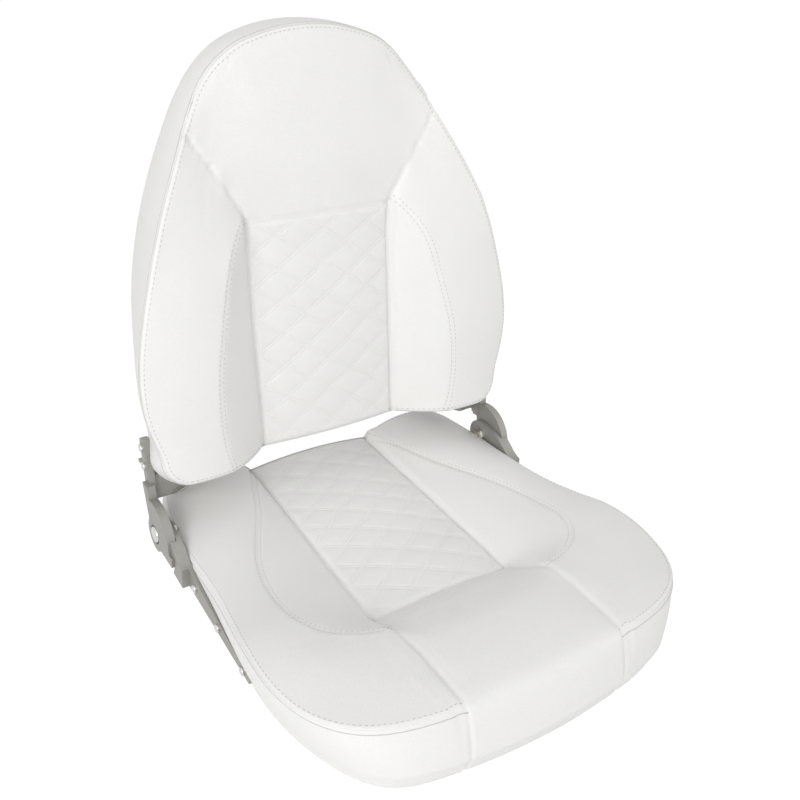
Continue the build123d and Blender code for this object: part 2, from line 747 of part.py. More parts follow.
# Bushing: a sleeve pressed into the upper arm, with a flange between the two arms
with BuildPart() as pivot_bushing_right:
    with BuildSketch(hinge_side(lower_outer_x + running_gap)):
        Circle(washer_radius)
    extrude(amount=bushing_flange_thickness)
    with BuildSketch(hinge_side(upper_inner_x)):
        Circle(bushing_radius)
    extrude(amount=recess_floor_x - upper_inner_x)
    with BuildSketch(hinge_side(lower_outer_x)):
        Circle(bolt_radius + running_fit)
    extrude(amount=recess_floor_x - lower_outer_x, mode=Mode.SUBTRACT)
pivot_bushing_right.part.label = "pivot_bushing_right"

# Washer and lock nut on the inner side of the lower arm
with BuildPart() as pivot_washer_right:
    with BuildSketch(hinge_side(lower_inner_x)):
        Circle(washer_radius)
        Circle(bolt_radius + press_fit, mode=Mode.SUBTRACT)
    extrude(amount=-washer_thickness)
pivot_washer_right.part.label = "pivot_washer_right"

with BuildPart() as pivot_nut_right:
    with BuildSketch(hinge_side(nut_inner_x)):
        RegularPolygon(nut_across_flats / 2, side_count=6, major_radius=False)
        Circle(bolt_radius + press_fit, mode=Mode.SUBTRACT)
    extrude(amount=nut_thickness)
pivot_nut_right.part.label = "pivot_nut_right"

for fastener in (pivot_bolt_right, pivot_bushing_right, pivot_washer_right, pivot_nut_right):
    twin_label = fastener.part.label.replace("right", "left")
    save(fastener.part, mirrored(fastener.part, twin_label))
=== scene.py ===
import math
import bpy
import numpy as np
from mathutils import Matrix


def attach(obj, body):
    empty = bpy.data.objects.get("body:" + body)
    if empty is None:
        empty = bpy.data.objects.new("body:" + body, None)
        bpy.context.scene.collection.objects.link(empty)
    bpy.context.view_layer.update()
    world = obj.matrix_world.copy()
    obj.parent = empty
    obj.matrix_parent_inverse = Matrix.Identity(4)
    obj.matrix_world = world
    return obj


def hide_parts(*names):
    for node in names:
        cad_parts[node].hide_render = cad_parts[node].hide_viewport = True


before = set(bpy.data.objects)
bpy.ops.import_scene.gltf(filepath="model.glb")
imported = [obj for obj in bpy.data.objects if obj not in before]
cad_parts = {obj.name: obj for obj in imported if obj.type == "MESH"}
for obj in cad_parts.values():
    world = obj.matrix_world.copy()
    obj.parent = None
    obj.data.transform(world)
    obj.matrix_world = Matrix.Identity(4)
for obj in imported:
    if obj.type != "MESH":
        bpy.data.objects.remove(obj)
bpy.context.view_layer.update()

# Seat pan
# A ribbed moulding in grey plastic under the seat cushion. The cover is stapled to its brim,
# and the pedestal bolts to its pad.


def place(tree, kind, sockets=(), **settings):
    """A node in a tree, with its settings, and each named socket's value or link."""
    node = tree.nodes.new(kind)
    for name, value in settings.items():
        setattr(node, name, value)
    for socket, value in dict(sockets).items():
        if isinstance(value, bpy.types.NodeSocket):
            tree.links.new(value, node.inputs[socket])
        else:
            node.inputs[socket].default_value = value
    return node


def shader_group(name, grain_scale):
    """A node group of a surface: tones, grain, relief and roughness go in, what a shader needs out."""
    tree = bpy.data.node_groups.new(name, "ShaderNodeTree")
    given = {"Dark Tone": (0.0, 0.0, 0.0, 1.0), "Light Tone": (1.0, 1.0, 1.0, 1.0), "Relief": 0.2,
             "Low Roughness": 0.4, "High Roughness": 0.5, "Grain Scale": grain_scale}
    for label, value in given.items():
        kind = "NodeSocketColor" if isinstance(value, tuple) else "NodeSocketFloat"
        tree.interface.new_socket(name=label, in_out="INPUT", socket_type=kind).default_value = value
    for label, kind in (("Color", "Color"), ("Roughness", "Float"), ("Normal", "Vector")):
        tree.interface.new_socket(name=label, in_out="OUTPUT", socket_type="NodeSocket" + kind)
    return tree, tree.nodes.new("NodeGroupInput").outputs


def put_out(tree, given, share, cloud, calm, height, distance):
    """A group's last nodes: tone by a share, roughness by clouds from calm's ends, relief by height."""
    tone = place(tree, "ShaderNodeMix", {
        "Factor": share, 6: given["Dark Tone"], 7: given["Light Tone"]}, data_type="RGBA")
    rough = place(tree, "ShaderNodeMapRange", {
        "Value": cloud, "From Min": calm[0], "From Max": calm[1],
        "To Min": given["Low Roughness"], "To Max": given["High Roughness"]})
    relief = place(tree, "ShaderNodeBump", {
        "Height": height, "Strength": given["Relief"], "Distance": distance})
    place(tree, "NodeGroupOutput", {
        "Color": tone.outputs[2], "Roughness": rough.outputs["Result"], "Normal": relief.outputs["Normal"]})


def finish(name, group, dark, light, rough, relief, scale=None, **sockets):
    """A material whose group gets two tones, two roughnesses, a relief and perhaps a grain scale."""
    material = bpy.data.materials.new(name)
    material.use_nodes = True
    tree = material.node_tree
    shader = tree.nodes["Principled BSDF"]
    values = {"Dark Tone": (*dark, 1.0), "Light Tone": (*light, 1.0), "Relief": relief,
              "Low Roughness": rough[0], "High Roughness": rough[1]}
    if scale:
        values["Grain Scale"] = scale
    grain = place(tree, "ShaderNodeGroup", values, node_tree=group)
    for source, socket in (("Color", "Base Color"), ("Roughness", "Roughness"), ("Normal", "Normal")):
        tree.links.new(grain.outputs[source], shader.inputs[socket])
    for label, value in sockets.items():
        shader.inputs[label.replace("_", " ")].default_value = value
    return material


def dress(material, *names):
    """The CAD nodes of these names take the material."""
    for name in names:
        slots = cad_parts[name].data.materials
        slots.clear()
        slots.append(material)


# Moulded or cast surfaces: fine pebbling, with slow changes of tone and gloss
pebbled, given = shader_group("pebbled_surface", grain_scale=900.0)
where = place(pebbled, "ShaderNodeTexCoord").outputs["Object"]
pebble = place(pebbled, "ShaderNodeTexNoise", {
    "Vector": where, "Scale": given["Grain Scale"], "Detail": 4.0, "Roughness": 0.6}).outputs["Fac"]
cloud = place(pebbled, "ShaderNodeTexNoise", {
    "Vector": where, "Scale": 28.0, "Detail": 5.0}).outputs["Fac"]
put_out(pebbled, given, share=cloud, cloud=cloud, calm=(0.0, 1.0), height=pebble, distance=0.0006)

pan_plastic = finish("pan_plastic", pebbled, (0.30, 0.295, 0.28), (0.36, 0.355, 0.34), (0.45, 0.6),
                     relief=0.35)
dress(pan_plastic, "seat_pan")

# Tee nuts
# Zinc plated steel nuts, pressed into the pan from above. The pedestal bolts turn into them.
zinc_plate = finish("zinc_plate", pebbled, (0.52, 0.51, 0.47), (0.64, 0.63, 0.58), (0.28, 0.42),
                    relief=0.12, scale=2400.0, Metallic=1.0)
dress(zinc_plate, "mount_tee_nuts")

# Seat cushion
# Foam in a sewn marine vinyl cover: a face of several panels, a boxing round the side and a
# hem that is turned in under the pan and stapled.


def cubic(a, b, ga, gb, t):
    """The cubic from a to b at shares t of the way, with slopes ga and gb at its ends."""
    return a + ga * t + (3 * (b - a) - 2 * ga - gb) * t**2 + (2 * (a - b) + ga + gb) * t**3


def through(points, steps, ends=None):
    """A smooth curve through points, with steps samples between each two.

    It is a cubic between neighbours. The slopes at the points make the bend the same on
    both sides of each, which is a set of equations on the chord lengths. The slopes at the
    two ends are given, or else follow from the first and last chord.
    """
    points = np.asarray(points, float)
    gaps = np.linalg.norm(np.diff(points, axis=0), axis=1)
    steep = np.diff(points, axis=0) / gaps[:, None]
    matrix = np.eye(len(points))
    known = np.zeros_like(points)
    middle = np.arange(1, len(points) - 1)
    matrix[middle, middle - 1] = gaps[1:]
    matrix[middle, middle] = 2 * (gaps[:-1] + gaps[1:])
    matrix[middle, middle + 1] = gaps[:-1]
    known[middle] = 3 * (gaps[1:, None] * steep[:-1] + gaps[:-1, None] * steep[1:])
    if ends:
        known[0], known[-1] = ends
    else:
        matrix[0, :2] = matrix[-1, -2:] = 1
        known[0], known[-1] = 2 * steep[0], 2 * steep[-1]
    slopes = np.linalg.solve(matrix, known)
    t = np.linspace(0, 1, steps, endpoint=False)[None, :, None]
    rises = slopes[:-1, None] * gaps[:, None, None], slopes[1:, None] * gaps[:, None, None]
    curve = cubic(points[:-1, None], points[1:, None], *rises, t)
    return np.vstack([curve.reshape(-1, points.shape[1]), points[-1:]])


def outline(half_width, near, length, shares, steps=40):
    """A closed cushion outline from the middle of its near edge, mirrored about x = 0.

    Half of it is a straight edge, an arc that leaves it at a tangent, a smooth curve, and
    an arc that crosses the far middle at a right angle. Each stretch between two shares has
    the same number of steps, so two outlines of one cushion pair up point by point.
    """
    shares = np.asarray(shares, float) * (half_width, length) + (0, near)
    first, second, last, far = shares[0], shares[1], shares[-2], shares[-1]
    climb = math.atan2(second[1] - first[1], second[0] - first[0])
    radius = np.linalg.norm(second - first) / (2 * math.sin(climb))
    turn = np.linspace(0, 2 * climb, steps, endpoint=False)
    corner = first + np.stack([np.sin(turn), 1 - np.cos(turn)], 1) * radius
    edge = np.linspace((0, near), first, steps, endpoint=False)
    fall = math.atan2(far[1] - last[1], last[0])
    crest_radius = np.linalg.norm(last - far) / (2 * math.sin(fall))
    crest_turn = np.linspace(2 * fall, 0, steps + 1)
    crest = far + np.stack([np.sin(crest_turn), np.cos(crest_turn) - 1], 1) * crest_radius
    ends = (math.cos(2 * climb), math.sin(2 * climb)), (-math.cos(2 * fall), math.sin(2 * fall))
    half = np.vstack([edge, corner, through(shares[1:-1], steps, ends)[:-1], crest])
    return np.vstack([half, half[-2:0:-1] * (-1, 1)])


def closed(loop):
    """A loop of points with its first point again at the end."""
    return np.vstack([loop, loop[:1]])


def walked(line):
    """The distance walked along a line of points, up to each of them."""
    steps = np.linalg.norm(np.diff(line, axis=0), axis=-1)
    return np.concatenate([np.zeros_like(steps[:1]), np.cumsum(steps, axis=0)])


def loop_places(rim, near_corner, far_corner, count):
    """Places along a closed outline, as fractions of its points, for the edge of a grid.

    The two near and two far corners split the outline in four stretches. Each gets count
    places at even distances along it, and the shared corners are kept once.
    """
    total = len(rim)
    once = walked(closed(rim))
    distance = np.concatenate([once - once[-1], once[1:]])
    index = np.arange(-total, total + 1)
    corners = (-near_corner, near_corner, far_corner, total - far_corner, total - near_corner)
    marks = np.interp(corners, index, distance)
    steps = np.linspace(0, 1, count)[:-1]
    return np.interp((marks[:-1, None] + np.diff(marks)[:, None] * steps).ravel(), distance, index)


def at_places(rim, places):
    """The points of a closed outline at fractional places."""
    twice = np.vstack([rim, closed(rim)])
    index = np.arange(-len(rim), len(rim) + 1)
    return np.stack([np.interp(places, index, twice[:, k]) for k in range(rim.shape[1])], 1)


def blended_grid(loop, count):
    """A square grid of points inside a closed loop of its edge points.

    Each point is the blend across plus the blend along of the edges, less that of the corners.
    """
    n = count - 1
    near, right = loop[: n + 1], loop[n : 2 * n + 1]
    far, left = loop[2 * n : 3 * n + 1][::-1], closed(loop)[3 * n :][::-1]
    b, a = np.meshgrid(np.linspace(0, 1, count), np.linspace(0, 1, count), indexing="ij")
    a, b = a[..., None], b[..., None]
    across = (1 - a) * left[:, None] + a * right[:, None]
    along = (1 - b) * near[None] + b * far[None]
    corners = (1 - b) * ((1 - a) * near[0] + a * near[-1]) + b * ((1 - a) * far[0] + a * far[-1])
    return across + along - corners


def edge_of(grid):
    """The loop of edge points round a square grid, in blended_grid's order."""
    return np.concatenate([grid[0, :-1], grid[:-1, -1], grid[-1, :0:-1], grid[:0:-1, 0]])


def row_values(rows, place_along):
    """A cushion's section sizes at places along it, by a cubic between the rows.

    The slope at a row is that between its two neighbours.
    """
    rows = np.asarray(rows)
    knots, values = rows[:, 0], rows[:, 1:]
    slopes = np.gradient(values, knots, axis=0)
    at = np.clip(place_along, knots[0], knots[-1])
    i = np.clip(np.searchsorted(knots, at, side="right") - 1, 0, len(knots) - 2)
    gap = (knots[i + 1] - knots[i])[..., None]
    t = (at - knots[i])[..., None] / gap
    return cubic(values[i], values[i + 1], slopes[i] * gap, slopes[i + 1] * gap, t)


# The section row at the insert's end, where the slopes along the cushion may break
insert_end = 5


def cushion_height(shape, x, along):
    """The height of a cushion's face over its plane.

    Across each section it is a shallow parabola over the insert, a swelling slope up to the
    bolster's seam, and a fuller parabola out to the rim and a tenth further.
    """
    place_along = along / shape["length"]
    lower, upper = shape["rows"][: insert_end + 1], shape["rows"][insert_end:]
    in_lower = (place_along < lower[-1][0])[..., None]
    values = np.where(in_lower, row_values(lower, place_along), row_values(upper, place_along))
    edge_x, edge_z, seam_x, seam_z, rim_x, rim_z, bulge, crown = np.moveaxis(values, -1, 0)
    wide, high = shape["half_width"], shape["height"]
    reach = np.abs(x) / wide
    low = high * edge_z + shape["crown"] * crown * (1 - np.clip(reach / edge_x, 0, 1) ** 2)
    q = np.clip((reach - edge_x) / (seam_x - edge_x), 0, 1)
    slope = high * (edge_z + (seam_z - edge_z) * q) + shape["swell"] * 4 * q * (1 - q)
    r = np.clip((reach - seam_x) / (rim_x - seam_x), 0, 1.1)
    outer = high * (seam_z + (rim_z - seam_z) * r + bulge * 4 * r * (1 - r))
    return np.where(reach < edge_x, low, np.where(reach < seam_x, slope, outer))


def near_line(points, line):
    """Each point's distance to a line of points, the least over the line's straight pieces."""
    a, b = line[:-1], line[1:]
    run = b - a
    flat = points.reshape(-1, points.shape[-1])
    best = np.full(len(flat), np.inf)
    for start, way in zip(a, run):
        t = np.clip((flat - start) @ way / (way @ way), 0, 1)
        best = np.minimum(best, np.linalg.norm(flat - start - t[:, None] * way, axis=1))
    return best.reshape(points.shape[:-1])


def seam_gap(face, seams=()):
    """Each face point's distance over the cushion's plane to the nearest seam or to the rim."""
    lines = [*seams, closed(edge_of(face))]
    return np.min([near_line(face[..., :2], line[:, :2]) for line in lines], axis=0)


def bell(t):
    """A bell curve, e to the power of minus t squared: one at zero and next to none at two."""
    return np.exp(-(t**2))


def normals_of(grid):
    """Unit normals of a grid of points, from the cross product of its two directions."""
    normal = np.cross(np.gradient(grid, axis=1), np.gradient(grid, axis=0))
    return normal / np.maximum(np.linalg.norm(normal, axis=-1, keepdims=True), 1e-12)


def mesh_of(name, points, quads, triangles=()):
    """A shaded smooth object of points, four-sided faces and triangles."""
    mesh = bpy.data.meshes.new(name)
    faces = [*np.asarray(quads).tolist(), *np.asarray(triangles).tolist()]
    mesh.from_pydata(np.asarray(points).tolist(), [], faces)
    mesh.polygons.foreach_set("use_smooth", np.ones(len(mesh.polygons), bool))
    mesh.update()
    piece = bpy.data.objects.new(name, mesh)
    bpy.context.collection.objects.link(piece)
    return piece


def grid_quads(rows, columns, wrap=False):
    """The four-sided faces of a grid of points numbered row by row, closed round if it wraps."""
    across = columns if wrap else columns - 1
    i, j = np.meshgrid(np.arange(rows - 1), np.arange(across), indexing="ij")
    right = (j + 1) % columns
    corners = [i * columns + j, i * columns + right, (i + 1) * columns + right, (i + 1) * columns + j]
    return np.stack(corners, -1).reshape(-1, 4)


# The far side's rim is evened out from a share of the length on, in full a step further, and
# the face follows within a width. The rounds grow with the grid, to even the same stretch
even_from, even_over, even_grid, follow_width = 0.6, 0.15, 15, 0.04
# The boxing swells more at the near corners, by a bell along and a ramp across
corner_along, corner_reach, corner_out, corner_over = 0.018, 0.032, 0.16, 0.04


def cushion_points(shape, count, rings, rim_rounds=5, wall_rings=5, turn_rings=6, hem_rings=4):
    """A cushion's face grid and its boxing rings, in the cushion's own plane: x, along, height.

    The rim is where the face's height meets the wall between the two outlines, found by a
    few rounds. Its height is then evened out along the far side. A boxing ring is the blend
    of the rim and the low outline, swelled by a half sine. The last rings run down to the
    bottom, turn in by a quarter circle and run on to the hem.
    """
    places = loop_places(shape["rim"], *shape["corners"], count)
    top, low = at_places(shape["rim"], places), at_places(shape["low_rim"], places)
    rim = top
    for _ in range(rim_rounds):
        height = cushion_height(shape, rim[:, 0], rim[:, 1])
        blend = (height - shape["low_height"]) / (shape["height"] - shape["low_height"])
        rim = low + (top - low) * blend[:, None]
    plan = blended_grid(rim, count)
    face = np.concatenate([plan, cushion_height(shape, plan[..., 0], plan[..., 1])[..., None]], -1)
    rim = edge_of(face)
    far = np.clip((rim[:, 1] / shape["length"] - even_from) / even_over, 0, 1)
    level = rim[:, 2].copy()
    for _ in range((count // even_grid) ** 2):
        level += far * (np.roll(level, 1) + np.roll(level, -1) - 2 * level) / 4
    lift = blended_grid((level - rim[:, 2])[:, None], count)[..., 0]
    face[..., 2] += lift * bell(seam_gap(face) / follow_width)
    rim = edge_of(face)
    run = np.roll(low, -1, 0) - np.roll(low, 1, 0)
    out = np.stack([run[:, 1], -run[:, 0]], 1) / np.linalg.norm(run, axis=1)[:, None]
    out = np.concatenate([out, np.zeros((len(out), 1))], 1)
    foot = np.concatenate([low, np.full((len(low), 1), shape["low_height"])], 1)
    upward = np.array((0, 0, 1.0))
    q = np.linspace(0, 1, rings)[1:, None, None]
    near = bell((low[:, 1] - corner_along) / corner_reach)
    near *= np.clip((np.abs(low[:, 0]) - corner_out) / corner_over, 0, 1)
    swell = shape["boxing_swell"] + shape["corner_swell"] * near
    wall = rim + (foot - rim) * q + out * swell[:, None] * np.sin(np.pi * q)
    radius = shape["bottom_round"]
    drop = foot[0, 2] - shape["bottom"] - radius
    sunk = foot - upward * drop - out * shape["tuck"]
    straight = foot + (sunk - foot) * np.linspace(0, 1, wall_rings)[1:, None, None]
    angle = np.linspace(0, np.pi / 2, turn_rings)[1:, None, None]
    turned = sunk - upward * radius * np.sin(angle) - out * radius * (1 - np.cos(angle))
    inward = out * (shape["hem"] - radius)
    hem = turned[-1] - inward * np.linspace(0, 1, hem_rings)[1:, None, None]
    lifted = hem[-1] + upward * shape["pocket"]
    return face, np.concatenate([wall, straight, turned, hem, lifted[None]])


def resample(field, count):
    """A square field of offsets brought to another count.

    Between two samples the weight is the mean of a straight blend and a smooth step.
    """
    old, new = np.linspace(0, 1, field.shape[0]), np.linspace(0, 1, count)
    i = np.clip(np.searchsorted(old, new, side="right") - 1, 0, len(old) - 2)
    t = (new - old[i]) * (len(old) - 1)
    t = (t * t * (3 - 2 * t) + t) / 2
    weights = np.zeros((count, len(old)))
    weights[np.arange(count), i] = 1 - t
    weights[np.arange(count), i + 1] = t
    return np.einsum("ai,bj,ijk->abk", weights, weights, field)


def shell_of(name, face, band):
    """One closed shell of a cushion's face grid, its boxing rings and a fan over the hem."""
    count, (rings, around) = len(face), band.shape[:2]
    ids = np.arange(count * count).reshape(count, count)
    low_ids = count * count + np.arange(rings * around).reshape(rings, around)
    ring = np.concatenate([edge_of(ids)[None], low_ids])
    right = np.roll(ring, -1, 1)
    strips = np.stack([ring[:-1], ring[1:], right[1:], right[:-1]], -1).reshape(-1, 4)
    fan = np.stack([ring[-1], np.full(around, ring.max() + 1), right[-1]], -1)
    points = np.vstack([face.reshape(-1, 3), band.reshape(-1, 3), band[-1].mean(0, keepdims=True)])
    return mesh_of(name, points, np.vstack([grid_quads(count, count), strips]), fan)


# The distance from its seams at which the cover is quite free to move
free_width = 0.012


def swollen(shape, count=49, rings=5, pressure=4.0, quality=6, frames=20):
    """How far the foam pushes a cushion's face panels out, as a grid of offsets.

    The closed cover is blown up as cloth for some frames with its seams, boxing and hem
    held, and no point may move further than the shape's limit.
    """
    face, band = cushion_points(shape, count, rings)
    cover = shell_of("cover_in_work", face, band)
    total = len(cover.data.vertices)
    held = np.ones(total)
    held[: count * count] = 1 - np.clip(seam_gap(face, shape["seams"]) / free_width, 0, 1).ravel()
    pins = cover.vertex_groups.new(name="seams")
    for index, weight in enumerate(held):
        pins.add([index], float(weight), "REPLACE")
    cloth = cover.modifiers.new("cover", "CLOTH")
    settings = cloth.settings
    settings.vertex_group_mass = "seams"
    settings.use_pressure = True
    settings.uniform_pressure_force = pressure
    settings.effector_weights.gravity = 0.0
    settings.quality = quality
    cloth.point_cache.frame_start, cloth.point_cache.frame_end = 1, frames
    scene = bpy.context.scene
    for step in range(1, frames + 1):
        scene.frame_set(step)
    shown = cover.evaluated_get(bpy.context.evaluated_depsgraph_get())
    moved = np.empty(total * 3)
    shown.data.vertices.foreach_get("co", moved)
    offset = moved.reshape(-1, 3)[: count * count] - face.reshape(-1, 3)
    far = np.linalg.norm(offset, axis=1, keepdims=True)
    offset *= np.minimum(1, shape["swell_limit"] / np.maximum(far, 1e-9))
    scene.frame_set(1)
    bpy.data.objects.remove(cover)
    return offset.reshape(count, count, 3)


def relaxed(face, seams, rounds=140):
    """A cushion's face with its heights evened out between the seams.

    Each height is averaged with its four neighbours again and again, in proportion to the
    square of its distance from the seams and the rim, so the panels stretch from seam to seam.
    """
    free = np.clip(seam_gap(face, seams) / free_width, 0, 1)[1:-1, 1:-1] ** 2
    face = face.copy()
    height = face[..., 2]
    for _ in range(rounds):
        mean = (height[:-2, 1:-1] + height[2:, 1:-1] + height[1:-1, :-2] + height[1:-1, 2:]) / 4
        height[1:-1, 1:-1] += (mean - height[1:-1, 1:-1]) * free
    return face


def softened(field, rounds):
    """A grid of values averaged with its neighbours, weights 1, 2, 1 both ways, some rounds."""
    for _ in range(rounds):
        wide = np.pad(field, ((1, 1), (1, 1), (0, 0)), mode="edge")
        wide = (wide[:-2] + 2 * wide[1:-1] + wide[2:]) / 4
        field = (wide[:, :-2] + 2 * wide[:, 1:-1] + wide[:, 2:]) / 4
    return field


def rolled_front(face, band, loose_width, reach=22, rounds=60, fade=0.09):
    """The far edge rounded over in its middle, where no seam runs along it.

    Each column of points across the edge is averaged with its neighbours again and again,
    and the result fades out on the way to the loose width.
    """
    n = len(face) - 1
    far = np.arange(n, -1, -1) + 2 * n
    strip = np.concatenate([face[-reach:], band[:reach, far % (4 * n)]])
    soft = strip.copy()
    for _ in range(rounds):
        soft[1:-1] = (soft[:-2] + 2 * soft[1:-1] + soft[2:]) / 4
    loose = np.clip((loose_width - np.abs(strip[reach - 1, :, 0])) / fade, 0, 1)
    loose = (loose * loose * (3 - 2 * loose))[None, :, None]
    strip = strip + (soft - strip) * loose
    face, band = face.copy(), band.copy()
    face[-reach:], band[:reach, far % (4 * n)] = strip[:reach], strip[reach:]
    return face, band


# Points along a cover's grid and rings down its boxing
face_count, ring_count = 231, 32
# The foam's push is none this near a far corner, and full after the fade. The normals are
# softened by some rounds
still_corner, corner_fade, normal_rounds = 0.012, 0.060, 8
# Depth and half width of the rim's groove, on the face and on the boxing, and of the seams
# that cross the boxing
rim_depth, rim_face_width, rim_wall_width = 0.0014, 0.0018, 0.0022
boxing_depth, boxing_width = 0.0016, 0.0020
# The insert's ground lies lower, to take the quilted panel: how deep, and its slope's width
ground_depth, ground_slope = 0.0035, 0.006


def sewn_cushion(name, shape, to_row):
    """The whole cover as one closed shell in the row frame, with its seams drawn in.

    A seam is a narrow bell-shaped groove, and the insert's ground lies lower.
    """
    face, band = cushion_points(shape, face_count, ring_count)
    face = relaxed(face, shape["seams"])
    far_corners = face[-1, (0, -1), :2]
    corner_gap = np.min([np.linalg.norm(face[..., :2] - far, axis=-1) for far in far_corners], axis=0)
    push = np.clip((corner_gap - still_corner) / corner_fade, 0, 1)
    face = face + resample(swollen(shape), face_count) * push[..., None]
    normal = softened(normals_of(face), normal_rounds)
    normal /= np.linalg.norm(normal, axis=-1, keepdims=True)
    sink = rim_depth * bell(seam_gap(face) / rim_face_width) * shape["rim_sewn"](face)
    for seam, (depth, width) in zip(shape["seams"], np.repeat(shape["seam_sizes"], 2, axis=0)):
        sink += depth * bell(near_line(face[..., :2], seam) / width)
    ground_wide, ground_end = shape["ground"]
    inside = np.minimum(ground_wide - np.abs(face[..., 0]), ground_end - face[..., 1])
    under = ground_depth * np.clip(inside / ground_slope, 0, 1) ** 2
    face = face - normal * (sink + under)[..., None]
    face[1:-1, 1:-1] = softened(face, 1)[1:-1, 1:-1]
    below = np.linalg.norm(band - edge_of(face)[None], axis=-1)
    pull = rim_depth * bell(below / rim_wall_width) * shape["rim_sewn"](band)
    pull += boxing_depth * bell(shape["boxing_gap"](band) / boxing_width)
    ring = np.concatenate([edge_of(face)[None], band])
    inward = np.cross(np.roll(ring, -1, 1) - np.roll(ring, 1, 1), np.gradient(ring, axis=0))
    inward /= np.maximum(np.linalg.norm(inward, axis=-1, keepdims=True), 1e-12)
    band = band + inward[1:] * pull[..., None]
    if shape["loose_width"]:
        face, band = rolled_front(face, band, shape["loose_width"])
    face, band = shape["pressed"](to_row(face)), shape["pressed"](to_row(band))
    return shell_of(name, face, band), face, band


seat_half_width, seat_rear, seat_depth = 0.249, 0.256, 0.492
seat_top_shares = [
    (0.743, 0.0), (0.868, 0.052), (0.906, 0.167), (0.934, 0.43), (1.0, 0.72),
    (0.936, 0.874), (0.775, 0.951), (0.45, 0.99), (0.0, 1.0)]
seat_low_shares = [
    (0.75, 0.0), (0.897, 0.055), (0.942, 0.16), (0.96, 0.41), (0.99, 0.66),
    (0.92, 0.82), (0.74, 0.945), (0.45, 0.985), (0.0, 1.0)]
# Sizes that both cushions share
alike = {"crown": 0.007, "swell": 0.004, "bottom_round": 0.008, "hem": 0.012, "boxing_swell": 0.002,
         "swell_limit": 0.006}
seat_shape = {
    **alike, "half_width": seat_half_width, "length": seat_depth, "height": 0.092,
    "rim": outline(seat_half_width, 0, seat_depth, seat_top_shares),
    "low_rim": outline(0.239, 0, 0.514, seat_low_shares), "corners": (60, 252),
    "low_height": 0.030, "bottom": 0.0015, "tuck": 0.007, "pocket": 0.0053, "corner_swell": 0.0,
    "ground": (0.0885, 0.3155), "loose_width": 0.15,
    # The depth and half width of the side, insert, fore and cross seams
    "seam_sizes": [(0.0014, 0.0024), (0.0036, 0.0030), (0.0020, 0.0024), (0.0036, 0.0030)],
    # Each section row: its place along, the insert's edge, the seam and the rim as shares
    # across and up, the outer swell and the share of the crown
    "rows": [
        (-0.03, 0.349, 0.467, 0.418, 0.587, 0.86, 0.543, 0.13, 1.0),
        (0.12, 0.349, 0.467, 0.434, 0.609, 0.876, 0.587, 0.14, 1.0),
        (0.333, 0.357, 0.467, 0.622, 0.652, 0.908, 0.63, 0.10, 1.0),
        (0.435, 0.361, 0.457, 0.699, 0.696, 0.928, 0.674, 0.076, 1.0),
        (0.537, 0.365, 0.457, 0.731, 0.772, 0.956, 0.761, 0.065, 1.0),
        (0.642, 0.365, 0.446, 0.719, 0.88, 0.992, 0.891, 0.055, 0.9),
        (0.699, 0.39, 0.663, 0.643, 0.891, 1.0, 0.913, 0.055, 0.6),
        (0.742, 0.406, 0.826, 0.454, 0.88, 1.0, 0.913, 0.055, 0.3),
        (0.825, 0.406, 0.924, 0.466, 0.935, 0.98, 0.891, 0.045, 0.2),
        (0.927, 0.404, 0.93, 0.466, 0.935, 1.0, 0.875, 0.04, 0.2),
        (1.09, 0.402, 0.891, 0.466, 0.891, 1.0, 0.848, 0.03, 0.2)]}
seat_seams = {
    "side": [(0.0885, 0.256), (0.090, 0.246), (0.108, 0.197), (0.124, 0.155), (0.155, 0.092),
             (0.174, 0.042), (0.182, -0.008), (0.181, -0.048), (0.160, -0.088), (0.128, -0.106),
             (0.101, -0.109)],
    "insert": [(0.087, 0.256), (0.087, 0.20), (0.089, 0.10), (0.091, -0.045), (0.091, -0.056)],
    "fore": [(0.091, -0.058), (0.095, -0.085), (0.101, -0.109), (0.1015, -0.15), (0.1005, -0.20),
             (0.100, -0.245)],
    "cross": [(0.0, -0.060), (0.05, -0.060), (0.091, -0.0585)]}
seam_steps = 14


def both_sides(lines):
    """Every line of plan points and its mirror image about x = 0."""
    return [side for line in lines for side in (line, line * (-1, 1))]


def seat_plane(points):
    """A smooth seam through points of the seat's plan, with its distance from the rear edge."""
    line = through(points, seam_steps)
    return np.stack([line[:, 0], seat_rear - line[:, 1]], 1)


def seat_to_row(points):
    """Points of the seat's plane (x to the left, way from the rear, height) in the row frame."""
    return np.stack([-points[..., 0], seat_rear - points[..., 1], points[..., 2]], -1)


seat_lines = {name: seat_plane(points) for name, points in seat_seams.items()}
seat_shape["seams"] = both_sides(seat_lines.values())
# The front lies further along than this. Its edge is sewn from the fore seams outward
front_along, sewn_out, sewn_over, fore_seam = 0.4, 0.094, 0.006, 0.0995


def seat_rim_sewn(points):
    """How much the edge is sewn: the front panel runs over it between the two fore seams."""
    sewn = np.clip((np.abs(points[..., 0]) - sewn_out) / sewn_over, 0, 1)
    return np.where(points[..., 1] > front_along, sewn, 1.0)


def seat_boxing_gap(points):
    """The distance to the fore seams where they run down the front."""
    return np.where(points[..., 1] > front_along, np.abs(np.abs(points[..., 0]) - fore_seam), 1.0)


# The lower arm in side view, along and up: its top line, its under line and its pivot
arm_top = [(-0.0565, 0.0255), (0.102, 0.0505), (0.128, 0.0635), (0.176, 0.0725), (0.198, 0.062)]
arm_under = [(-0.0565, 0.0145), (0.176, 0.0295), (0.198, 0.038)]
pivot_along, pivot_up = 0.176, 0.051
# How far out the cover may stand at the arm and at the pivot's nut, and how it comes free
arm_hold, arm_fade, arm_give = 0.2284, 0.005, 0.02
nut_hold, nut_ring, nut_fade, nut_give = 0.2203, 0.0102, 0.006, 0.0281


